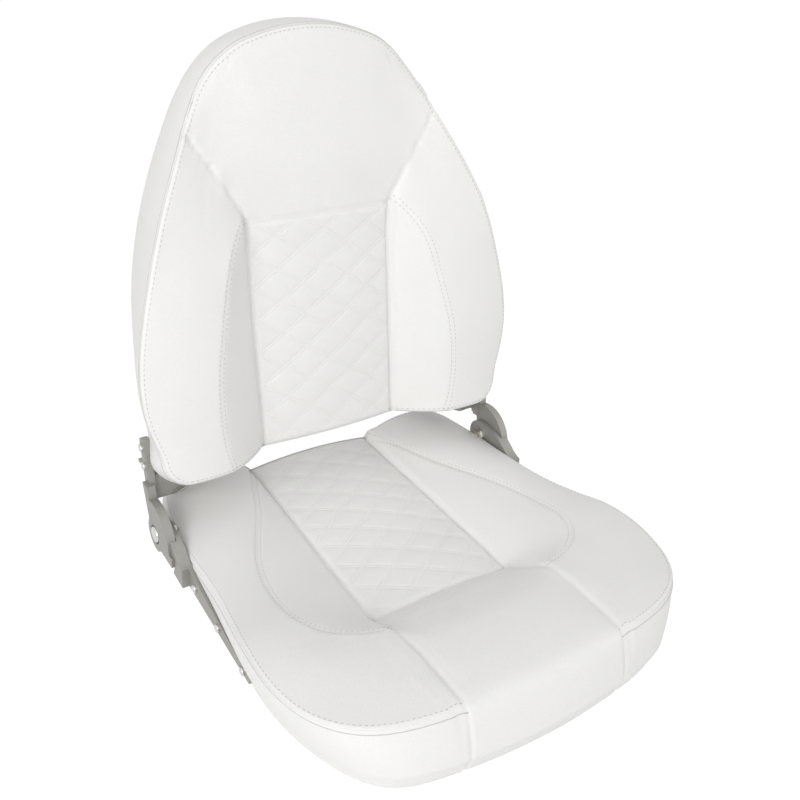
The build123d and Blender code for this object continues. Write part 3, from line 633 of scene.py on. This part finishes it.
def seat_pressed(points):
    """The cover's side pressed flat against the inner face of the lower arms.

    Inside the arm's side view, and less over the fade beside it, a point's distance from the
    middle is held below the arm's plane, and round the pivot below the end of its bolt.
    """
    x, y, z = np.moveaxis(points, -1, 0)
    top, under = np.interp(y, *zip(*arm_top)), np.interp(y, *zip(*arm_under))
    away = np.maximum.reduce([arm_top[0][0] - y, y - arm_top[-1][0], under - z, z - top])
    hold = arm_hold + np.clip(away / arm_fade, 0, 1) * arm_give
    from_pivot = np.hypot(y - pivot_along, z - pivot_up)
    beside_nut = nut_hold + np.clip((from_pivot - nut_ring) / nut_fade, 0, 1) * nut_give
    return np.stack([np.sign(x) * np.minimum(np.abs(x), np.minimum(hold, beside_nut)), y, z], -1)


seat_shape.update(rim_sewn=seat_rim_sewn, boxing_gap=seat_boxing_gap, pressed=seat_pressed)
seat_cushion, seat_face, seat_band = sewn_cushion("seat_cushion_cover", seat_shape, seat_to_row)

# The cover's vinyl: a fine leather grain of small cells, with painted shade in the grooves between them
# and slow random changes of tone, and slow changes of gloss where it is stretched
vinyl, given = shader_group("vinyl_surface", grain_scale=700.0)
where = place(vinyl, "ShaderNodeTexCoord").outputs["Object"]
bent = place(vinyl, "ShaderNodeTexNoise", {"Vector": where, "Scale": 260.0, "Detail": 2.0})
shift = place(vinyl, "ShaderNodeVectorMath", {
    0: bent.outputs["Color"], "Scale": 0.0012}, operation="SCALE")
moved = place(vinyl, "ShaderNodeVectorMath", {0: where, 1: shift.outputs["Vector"]}, operation="ADD")
cells = place(vinyl, "ShaderNodeTexVoronoi", {
    "Vector": moved.outputs["Vector"], "Scale": given["Grain Scale"]}, feature="DISTANCE_TO_EDGE")
rounded = place(vinyl, "ShaderNodeMapRange", {
    "Value": cells.outputs["Distance"], "From Max": 0.22}, interpolation_type="SMOOTHSTEP").outputs["Result"]
cloud = place(vinyl, "ShaderNodeTexNoise", {
    "Vector": where, "Scale": 14.0, "Detail": 4.0}).outputs["Fac"]
# The light tone's share: painted shade in the grain's grooves, times slow random clouds of tone
groove_shade_and_cloud = place(vinyl, "ShaderNodeMath", {0: rounded, 1: cloud}, operation="MULTIPLY").outputs["Value"]
put_out(vinyl, given, share=groove_shade_and_cloud, cloud=cloud, calm=(0.3, 0.7), height=rounded, distance=0.00025)

# The dark tone is painted shade in the grain's grooves, and also the low end of the random tone
cover_vinyl = finish("cover_vinyl", vinyl, (0.80, 0.795, 0.78), (0.87, 0.867, 0.855), (0.40, 0.52),
                     relief=0.35)
seat_cushion.data.materials.append(cover_vinyl)
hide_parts("seat_cushion")
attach(seat_cushion, "seat_base")

# Seat insert
# The quilted middle panel: thin wadding under the same vinyl, sewn in pairs of rows that
# cross in diamonds. Its edges are drawn down into the fold beside the bolsters.

# A diamond's size, and the two grooves of each line: half their distance, depth and half width
diamond_wide, diamond_long = 0.060, 0.040
line_apart, line_depth, line_width = 0.0019, 0.0006, 0.0007
# The wadding's swell and how far a line holds it down, and the panel's thickness over the
# ground with the width and depth of the curl at its edges. The ground is read just inside
# the insert's edge, as a share of its half width
wadding_swell, wadding_width, panel_lift, curl_width, curl_depth = 0.0006, 0.0075, 0.0006, 0.008, 0.0052
just_inside = 0.999


def quilted_insert(name, shape, half_widths, ends, to_row, columns=191, rows=301):
    """A quilted panel over a cushion's insert, as a grid of points.

    The panel follows the cushion's face and curls down at its edges by a quarter circle. Two
    families of slanted lines make diamonds: each line is two narrow grooves, and the wadding
    swells with the distance from both families. Its half width is given at places along it.
    """
    a, b = np.meshgrid(np.linspace(-1, 1, columns), np.linspace(0, 1, rows))
    along = ends[0] + (ends[1] - ends[0]) * b
    wide = np.interp(along, *half_widths)
    x = a * wide
    ground = np.stack([x, along, cushion_height(shape, x * just_inside, along)], -1)
    pitch = 1 / math.hypot(1 / diamond_wide, 1 / diamond_long)
    height, swell = np.zeros_like(x), np.ones_like(x)
    for sign in (1, -1):
        phase = x / diamond_wide + sign * (along - (ends[0] + ends[1]) / 2) / diamond_long
        gap = np.abs(phase - np.round(phase)) * pitch
        height -= line_depth * bell((gap - line_apart) / line_width)
        swell *= 1 - bell(gap / wadding_width)
    height += wadding_swell * swell
    inside = np.minimum(wide - np.abs(x), np.minimum(along - ends[0], ends[1] - along))
    curl = np.clip(inside / curl_width, 0, 1)
    height = height * curl - curl_depth * (1 - np.sqrt(1 - (1 - curl) ** 2)) + panel_lift
    points = to_row(ground + normals_of(ground) * height[..., None])
    return mesh_of(name, points.reshape(-1, 3), grid_quads(rows, columns))


seat_insert = quilted_insert(
    "seat_insert_quilt", seat_shape, ((0, 0.10, 0.316), (0.087, 0.088, 0.091)), (-0.0005, 0.316), seat_to_row)
# The dark tone is painted shade in the grain's grooves, and also the low end of the random tone
insert_vinyl = finish("insert_vinyl", vinyl, (0.79, 0.785, 0.77), (0.86, 0.857, 0.845), (0.42, 0.54),
                      relief=0.30)
seat_insert.data.materials.append(insert_vinyl)
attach(seat_insert, "seat_base")

# Seat stitching
# Bonded thread in rows beside the seams: one row each side of the bolsters' curved seams and
# of the seam round the edge.
thread_radius, stitch_length, stitch_pitch = 0.00042, 0.0042, 0.0055
# The edge's rows lie this far from the rim, where it is sewn enough and in no shorter runs
edge_inset, sewn_enough, shortest_run = 0.0042, 0.9, 4


def on_surface(points, grid, batch=100):
    """Points moved on to a grid surface, and its normals there.

    Each point drops square on to the flat through its nearest grid point.
    """
    flat, normal = grid.reshape(-1, 3), normals_of(grid).reshape(-1, 3)
    squared = (flat**2).sum(1)
    parts = np.array_split(points, max(1, len(points) // batch))
    nearest = np.concatenate([np.argmin(squared - 2 * part @ flat.T, axis=1) for part in parts])
    base, normal = flat[nearest], normal[nearest]
    return points - normal * ((points - base) * normal).sum(1)[:, None], normal


def walked_evenly(line):
    """Points at the stitches' pitch along a line of points."""
    distance = walked(line)
    at = np.arange(0, distance[-1], stitch_pitch)
    return np.stack([np.interp(at, distance, line[:, k]) for k in range(line.shape[1])], 1)


def beside(line, distance):
    """A plan line moved sideways by a distance."""
    run = np.gradient(line, axis=0)
    side = np.stack([-run[:, 1], run[:, 0]], 1) / np.linalg.norm(run, axis=1)[:, None]
    return line + side * distance


def stitches(name, rows, rings=5, sides=5, end_share=0.08, bow=1.5):
    """Every stitch of some rows as one mesh.

    A stitch is a thread that rises out of one hole and dips into the next: rings of points
    whose centres follow a low arc, thinner to the ends. A row is its centres and their
    surface normals.
    """
    ring, turns = np.linspace(-1, 1, rings), np.arange(sides) * 2 * np.pi / sides
    spread = np.sqrt(np.maximum(end_share, 1 - ring**2)) * thread_radius
    rise = thread_radius * (bow * (1 - ring**2) - 1)
    along = np.repeat(ring * stitch_length / 2, sides)
    side = (spread[:, None] * np.cos(turns)).ravel()
    up = (spread[:, None] * np.sin(turns) + rise[:, None]).ravel()
    quads, each = grid_quads(rings, sides, wrap=True), rings * sides
    points, faces, first = [], [], 0
    for centres, normal in rows:
        run = np.gradient(centres, axis=0)
        run -= normal * (run * normal).sum(1)[:, None]
        run /= np.linalg.norm(run, axis=1)[:, None]
        across = np.cross(normal, run)
        block = (centres[:, None] + run[:, None] * along[None, :, None]
                 + across[:, None] * side[None, :, None] + normal[:, None] * up[None, :, None])
        points.append(block.reshape(-1, 3))
        starts = first + np.arange(len(centres)) * each
        faces.append((quads[None] + starts[:, None, None]).reshape(-1, 4))
        first += len(centres) * each
    return mesh_of(name, np.vstack(points), np.vstack(faces))


def boxing_row(band, sewn):
    """A row of stitches down the boxing, at the inset from the rim where the edge is sewn."""
    distance = walked(band)
    column = np.arange(band.shape[1])
    k = (distance < edge_inset).sum(0).clip(1, len(band) - 1)
    above, below = band[k - 1, column], band[k, column]
    t = (edge_inset - distance[k - 1, column]) / (distance[k, column] - distance[k - 1, column])
    outer = above + (below - above) * t[:, None]
    normal = np.cross(below - above, np.roll(outer, -1, 0) - np.roll(outer, 1, 0))
    normal /= np.linalg.norm(normal, axis=1)[:, None]
    row = walked_evenly(closed(np.column_stack([outer, normal, sewn])))
    row = row[row[:, 6] > sewn_enough]
    return row[:, :3], row[:, 3:6]


def cut_runs(line, keep):
    """The kept stretches of a line, one array each."""
    edges = np.flatnonzero(np.diff(keep.astype(int))) + 1
    runs = zip(np.split(line, edges), np.split(keep, edges))
    return [part for part, kept in runs if kept[0] and len(part) > shortest_run]


def cushion_stitching(name, shape, side_seam, side_gap, to_row, face, band):
    """A cushion's threads: rows both sides of its bolsters' seams and of the edge's seam."""
    rim = edge_of(cushion_points(shape, face_count, ring_count)[0])
    sewn = shape["rim_sewn"](rim)
    lines = [beside(line, gap) for line in both_sides([side_seam]) for gap in (side_gap, -side_gap)]
    lines += cut_runs(beside(closed(rim[:, :2]), edge_inset), np.append(sewn, sewn[0]) > sewn_enough)
    rows = []
    for line in lines:
        plan = walked_evenly(line)
        height = cushion_height(shape, plan[:, 0], plan[:, 1])
        rows.append(on_surface(to_row(np.column_stack([plan, height])), face))
    return stitches(name, [*rows, boxing_row(band, sewn)])


seat_stitching = cushion_stitching(
    "seat_stitching", seat_shape, seat_lines["side"], 0.0030, seat_to_row, seat_face, seat_band)
thread = finish("cover_thread", pebbled, (0.52, 0.51, 0.48), (0.66, 0.65, 0.62), (0.5, 0.65),
                relief=0.4, scale=5000.0)
seat_stitching.data.materials.append(thread)
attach(seat_stitching, "seat_base")

# Lower arms
# Grey castings, one along each side of the seat, screwed through the cover into the pan. The
# block on the outer side has the ledge that the backrest's toe stops on.
cast_edge_width, sharp_angle, same_point = 0.0009, math.radians(35), 1e-5


def soften_edges(*names):
    """Small rounds on the sharp edges of castings, with the flat faces left flat."""
    for name in names:
        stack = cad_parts[name].modifiers
        stack.new("joined_points", "WELD").merge_threshold = same_point
        rounds = stack.new("cast_edges", "BEVEL")
        rounds.width, rounds.segments = cast_edge_width, 2
        rounds.limit_method, rounds.angle_limit = "ANGLE", sharp_angle
        stack.new("flat_faces", "WEIGHTED_NORMAL").keep_sharp = True


cast_grey = finish("cast_grey", pebbled, (0.28, 0.272, 0.25), (0.37, 0.362, 0.335), (0.38, 0.52),
                   relief=0.55, scale=520.0, Metallic=0.35)
dress(cast_grey, "lower_arm_left", "lower_arm_right")
soften_edges("lower_arm_left", "lower_arm_right")
screw_steel = finish("screw_steel", pebbled, (0.55, 0.55, 0.56), (0.68, 0.68, 0.69), (0.22, 0.34),
                     relief=0.1, scale=3000.0, Metallic=1.0)
dress(screw_steel, "lower_arm_screws_left", "lower_arm_screws_right")

# Back shell
# A grey moulding behind the back cushion, with a raised panel. The cover is stapled round
# its brim and the upper arms screw into its rails.
shell_plastic = finish("shell_plastic", pebbled, (0.62, 0.615, 0.60), (0.70, 0.695, 0.68), (0.42, 0.56),
                       relief=0.35)
dress(shell_plastic, "back_shell")

# Back cushion
# Foam in its sewn vinyl cover, like the seat's: deep bolsters beside a quilted middle, and a
# plain head panel between two curved shoulder seams.
back_lean = math.radians(9.2)
back_origin = np.array((0, 0.1995, 0.1082))
back_up = np.array((0, math.sin(back_lean), math.cos(back_lean)))
back_forward = np.array((0, -math.cos(back_lean), math.sin(back_lean)))
back_front_shares = [
    (0.80, 0.0), (0.93, 0.06), (0.978, 0.15), (1.0, 0.25), (0.94, 0.424),
    (0.794, 0.639), (0.635, 0.79), (0.504, 0.897), (0.317, 0.971), (0.0, 1.0)]
back_rear_shares = [
    (0.87, 0.0), (0.975, 0.05), (1.0, 0.15), (1.0, 0.275), (0.973, 0.418),
    (0.864, 0.623), (0.714, 0.783), (0.568, 0.893), (0.355, 0.969), (0.0, 1.0)]
back_shape = {
    **alike, "half_width": 0.252, "length": 0.482, "height": 0.056,
    "rim": outline(0.252, 0.006, 0.476, back_front_shares),
    "low_rim": outline(0.2235, 0.006, 0.4875, back_rear_shares), "corners": (60, 300),
    "low_height": -0.046, "bottom": -0.060, "tuck": 0.0015, "pocket": 0.0048, "corner_swell": 0.010,
    "ground": (0.0935, 0.282), "loose_width": 0,
    # The depth and half width of the side, insert, shoulder and cross seams
    "seam_sizes": [(0.0014, 0.0024), (0.0036, 0.0030), (0.0018, 0.0026), (0.0014, 0.0022)],
    "rows": [
        (-0.06, 0.373, 0.0, 0.58, 0.786, 0.95, 0.714, 0.09, 1.0),
        (0.075, 0.373, 0.0, 0.615, 0.82, 0.95, 0.714, 0.09, 1.0),
        (0.27, 0.373, 0.0, 0.623, 0.857, 1.0, 0.732, 0.09, 1.0),
        (0.394, 0.373, 0.0, 0.571, 0.75, 0.96, 0.732, 0.09, 1.0),
        (0.53, 0.373, 0.0, 0.50, 0.57, 0.88, 0.73, 0.09, 1.0),
        (0.595, 0.377, 0.07, 0.425, 0.25, 0.84, 0.69, 0.10, 0.9),
        (0.63, 0.42, 0.13, 0.455, 0.20, 0.80, 0.61, 0.09, 0.7),
        (0.705, 0.484, 0.14, 0.508, 0.18, 0.746, 0.48, 0.06, 0.6),
        (0.80, 0.58, 0.15, 0.60, 0.16, 0.64, 0.23, 0.01, 0.8),
        (0.892, 0.43, 0.07, 0.46, 0.045, 0.508, 0.0, 0.01, 1.0),
        (1.04, 0.36, 0.02, 0.40, 0.0, 0.45, -0.02, 0.005, 0.8)]}
back_seams = {
    "side": [(0.0975, 0.289), (0.112, 0.273), (0.127, 0.248), (0.144, 0.190), (0.157, 0.130),
             (0.160, 0.070), (0.156, 0.030), (0.149, 0.006)],
    "insert": [(0.0925, 0.006), (0.0935, 0.08), (0.0945, 0.18), (0.0945, 0.283)],
    "shoulder": [(0.0950, 0.284), (0.098, 0.294), (0.112, 0.317), (0.128, 0.342), (0.144, 0.366),
                 (0.1575, 0.386)],
    "cross": [(0.0, 0.2835), (0.05, 0.2835), (0.0945, 0.2835)]}
back_lines = {name: through(points, seam_steps) for name, points in back_seams.items()}
back_shape["seams"] = both_sides(back_lines.values())


def back_to_row(points):
    """Points of the back's plane, x, height up it and distance out of it, in the row frame."""
    x, up, out = points[..., :1], points[..., 1:2], points[..., 2:3]
    return back_origin + x * (1, 0, 0) + up * back_up + out * back_forward


def back_everywhere(points):
    """One at every point: the edge is sewn all round, and no seam comes near the boxing."""
    return np.ones(points.shape[:-1])


# The flange in side view: it ends at a height, and its front and rear edges lean. The cover's
# side may stand this far out behind it, and comes free over the fade
flange_top, flange_front, flange_rear = 0.0545, 0.0035, -0.0125
flange_foot, flange_run, front_lean, rear_lean = -0.034, 0.088, 0.006, 0.002
flange_hold, flange_fade, flange_give = 0.2322, 0.008, 0.03


def back_pressed(points):
    """The boxing pressed flat behind the upper arms' flanges.

    Inside the flange's side view, and less over the fade beside it, a point's distance from
    the middle is held below the flange's plane.
    """
    from_origin = points - back_origin
    up, out = from_origin @ back_up, from_origin @ back_forward
    run = (up - flange_foot) / flange_run
    front, rear = flange_front - front_lean * run, flange_rear - rear_lean * run
    away = np.maximum.reduce([up - flange_top, out - front, rear - out])
    hold = flange_hold + np.clip(away / flange_fade, 0, 1) * flange_give
    x = points[..., 0]
    return np.concatenate([(np.sign(x) * np.minimum(np.abs(x), hold))[..., None], points[..., 1:]], -1)


back_shape.update(rim_sewn=back_everywhere, boxing_gap=back_everywhere, pressed=back_pressed)
back_cushion, back_face, back_band = sewn_cushion("back_cushion_cover", back_shape, back_to_row)
back_cushion.data.materials.append(cover_vinyl)
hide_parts("back_cushion")
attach(back_cushion, "backrest")

# Back insert
# The same quilting as on the seat, from the foot of the back up to the head panel.
back_insert = quilted_insert(
    "back_insert_quilt", back_shape, ((0, 0.283), (0.0925, 0.0942)), (0.0055, 0.283), back_to_row)
back_insert.data.materials.append(insert_vinyl)
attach(back_insert, "backrest")

# Back stitching
# The same thread in rows beside the bolster seams and the seam round the edge.
back_stitching = cushion_stitching(
    "back_stitching", back_shape, back_lines["side"], 0.0028, back_to_row, back_face, back_band)
back_stitching.data.materials.append(thread)
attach(back_stitching, "backrest")

# Upper arms
# Grey castings that turn on the hinge bolts. Each has a flange screwed to the side of the
# back and a ribbed web that reaches in under it.
dress(cast_grey, "upper_arm_left", "upper_arm_right")
soften_edges("upper_arm_left", "upper_arm_right")
dress(screw_steel, "upper_arm_screws_left", "upper_arm_screws_right")

# Hinge bolts, bushings, washers and nuts
# A round headed steel bolt on each side, in a black nylon bushing, with a washer and a lock
# nut inside.
dress(screw_steel, "pivot_bolt_left", "pivot_bolt_right")
dress(zinc_plate, "pivot_washer_left", "pivot_washer_right", "pivot_nut_left", "pivot_nut_right")
nylon = finish("black_nylon", pebbled, (0.03, 0.03, 0.03), (0.05, 0.05, 0.05), (0.45, 0.6),
               relief=0.2, scale=1500.0)
dress(nylon, "pivot_bushing_left", "pivot_bushing_right")

# Floor, light and camera
# A plain pale floor under a white room, soft lamps from the front left, and the
# photograph's view.
floor_size, floor_drop, floor_glow = 6.0, 0.0008, 0.9
floor_corners = np.array([(-1, -1, 0), (1, -1, 0), (1, 1, 0), (-1, 1, 0)])
floor = mesh_of("floor", floor_corners * floor_size - (0, 0, floor_drop), [(0, 1, 2, 3)])


def seen_share(tree):
    """One for camera, glossy and transmission rays, and none for all others."""
    ray = place(tree, "ShaderNodeLightPath").outputs
    seen = ray["Is Camera Ray"]
    for kind in ("Is Glossy Ray", "Is Transmission Ray"):
        seen = place(tree, "ShaderNodeMath", {0: seen, 1: ray[kind]}, operation="MAXIMUM").outputs["Value"]
    return seen


floor_paint = bpy.data.materials.new("floor_paint")
floor_paint.use_nodes = True
tree = floor_paint.node_tree
tree.nodes.clear()
glow_share = place(tree, "ShaderNodeMath", {0: seen_share(tree), 1: floor_glow}, operation="MULTIPLY")
matte = place(tree, "ShaderNodeBsdfDiffuse", {"Color": (0.86, 0.86, 0.86, 1.0)})
glow = place(tree, "ShaderNodeEmission", {"Color": (1.0, 1.0, 1.0, 1.0), "Strength": 1.08})
both = place(tree, "ShaderNodeMixShader", {
    0: glow_share.outputs["Value"], 1: matte.outputs["BSDF"], 2: glow.outputs["Emission"]})
place(tree, "ShaderNodeOutputMaterial", {"Surface": both.outputs["Shader"]})
floor.data.materials.append(floor_paint)

world = bpy.data.worlds.new("white_room")
bpy.context.scene.world = world
world.use_nodes = True
tree = world.node_tree
tree.nodes.clear()
strength = place(tree, "ShaderNodeMapRange", {"Value": seen_share(tree), "To Min": 0.47, "To Max": 1.0})
sky = place(tree, "ShaderNodeBackground", {
    "Color": (1.0, 1.0, 1.0, 1.0), "Strength": strength.outputs["Result"]})
place(tree, "ShaderNodeOutputWorld", {"Surface": sky.outputs["Background"]})


def stand(name, thing, right, up, back, position):
    """A lamp or camera at a position, with its three axes."""
    holder = bpy.data.objects.new(name, thing)
    axes = np.column_stack([right, up, back, position])
    holder.matrix_world = Matrix(np.vstack([axes, (0, 0, 0, 1)]).tolist())
    bpy.context.collection.objects.link(holder)
    return holder


def lamp(name, position, target, size, power):
    """A square area lamp at a position, turned to a target."""
    light = bpy.data.lights.new(name, "AREA")
    light.size, light.energy = size, power
    back = np.subtract(position, target) / np.linalg.norm(np.subtract(position, target))
    right = np.cross((0, 0, 1), back)
    right /= np.linalg.norm(right)
    stand(name, light, right, np.cross(back, right), back, position)


lamp("key_lamp", (-1.9, -1.5, 1.35), (0, 0, 0.25), 1.6, 43.0)
lamp("fill_lamp", (1.9, -1.0, 1.0), (0, 0, 0.2), 2.0, 11.0)
lamp("top_lamp", (-0.2, 0.3, 2.4), (0, 0, 0.2), 1.8, 5.5)

# The camera's place was found from the photograph's straight seams and corners
camera_place, focal_length = (-0.520, -0.685, 0.762), 42.54
camera_turn, camera_rise, camera_roll = np.radians((-35.22, 30.34, 4.43))
level = np.array((math.cos(camera_turn), math.sin(camera_turn), 0))
ahead = np.array((math.sin(camera_turn), -math.cos(camera_turn), 0))
back = ahead * math.cos(camera_rise) + (0, 0, math.sin(camera_rise))
upright = np.cross(back, level)
right = math.cos(camera_roll) * level + math.sin(camera_roll) * upright
up = math.cos(camera_roll) * upright - math.sin(camera_roll) * level
lens = bpy.data.cameras.new("camera")
lens.lens, lens.sensor_width, lens.sensor_fit = focal_length, 36.0, "HORIZONTAL"
camera = stand("camera", lens, right, up, back, camera_place)
bpy.context.scene.camera = camera
bpy.context.scene.view_settings.view_transform = "Standard"
